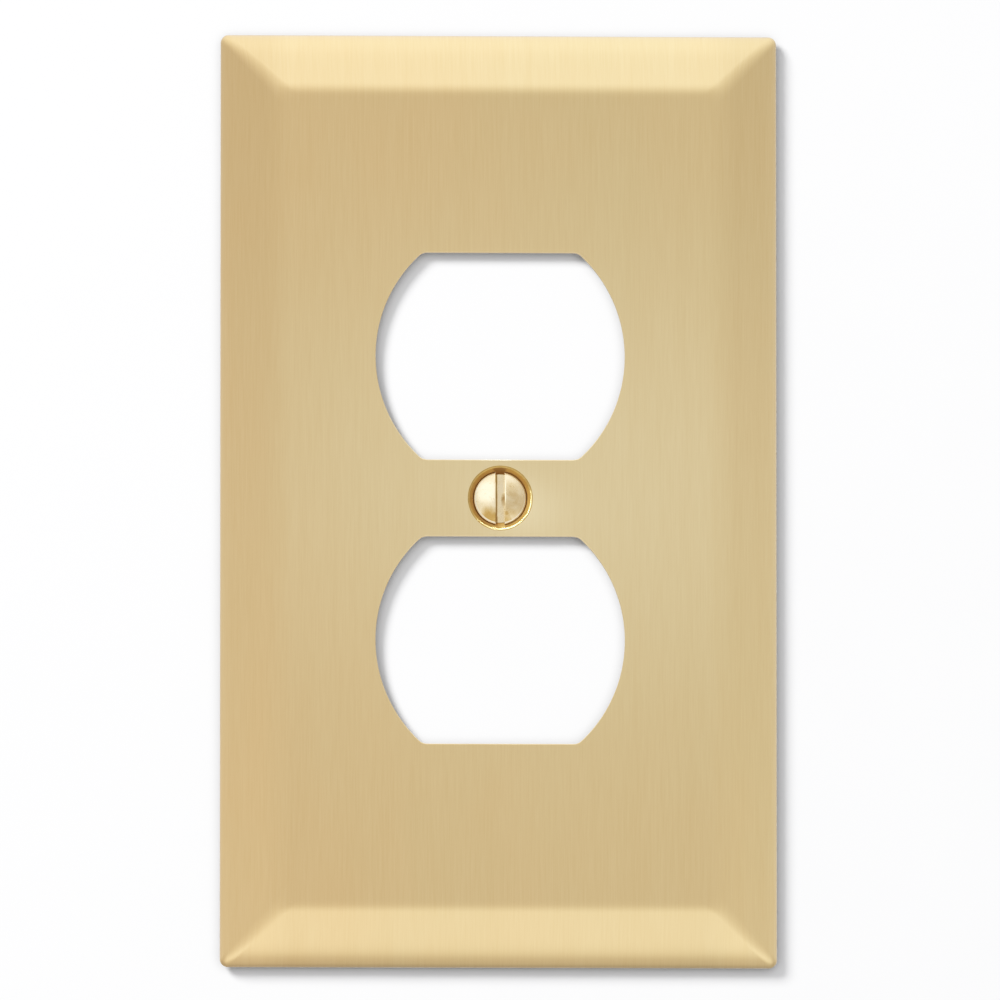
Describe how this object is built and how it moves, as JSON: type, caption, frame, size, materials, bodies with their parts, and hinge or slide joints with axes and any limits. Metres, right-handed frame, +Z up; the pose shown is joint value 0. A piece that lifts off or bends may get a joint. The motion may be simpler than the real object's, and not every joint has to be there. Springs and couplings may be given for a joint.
{
  "type": "duplex receptacle wall plate",
  "caption": "Pressed metal wall plate with wide bevelled sides, duplex receptacle openings and a captive oval-head mounting screw.",
  "frame": {"origin": "on the mounting screw's axis, in the wall plane that the rim rests on", "axes": "+Y into the wall, so the face looks along -Y; +Z up; +X to the right for someone facing the plate"},
  "size_m": [0.0762, 0.0137, 0.128],
  "materials": {
    "satin_brass": "satin, brushed vertically, clear lacquered",
    "bright_brass": "polished",
    "nylon": "natural nylon"
  },
  "bodies": {
    "plate": {"faceplate": "satin_brass"},
    "washer": {"retaining_washer": "nylon"},
    "screw": {"mounting_screw": "bright_brass"}
  },
  "joints": [
    {"name": "screw_travel", "type": "slide", "parent": "plate", "child": "washer", "axis": [0, -1, 0], "range_m": [0, 0.0021]},
    {"name": "screw_turn", "type": "hinge", "parent": "washer", "child": "screw", "pos_m": [0, 0, 0], "axis": [0, -1, 0], "continuous": true}
  ]
}
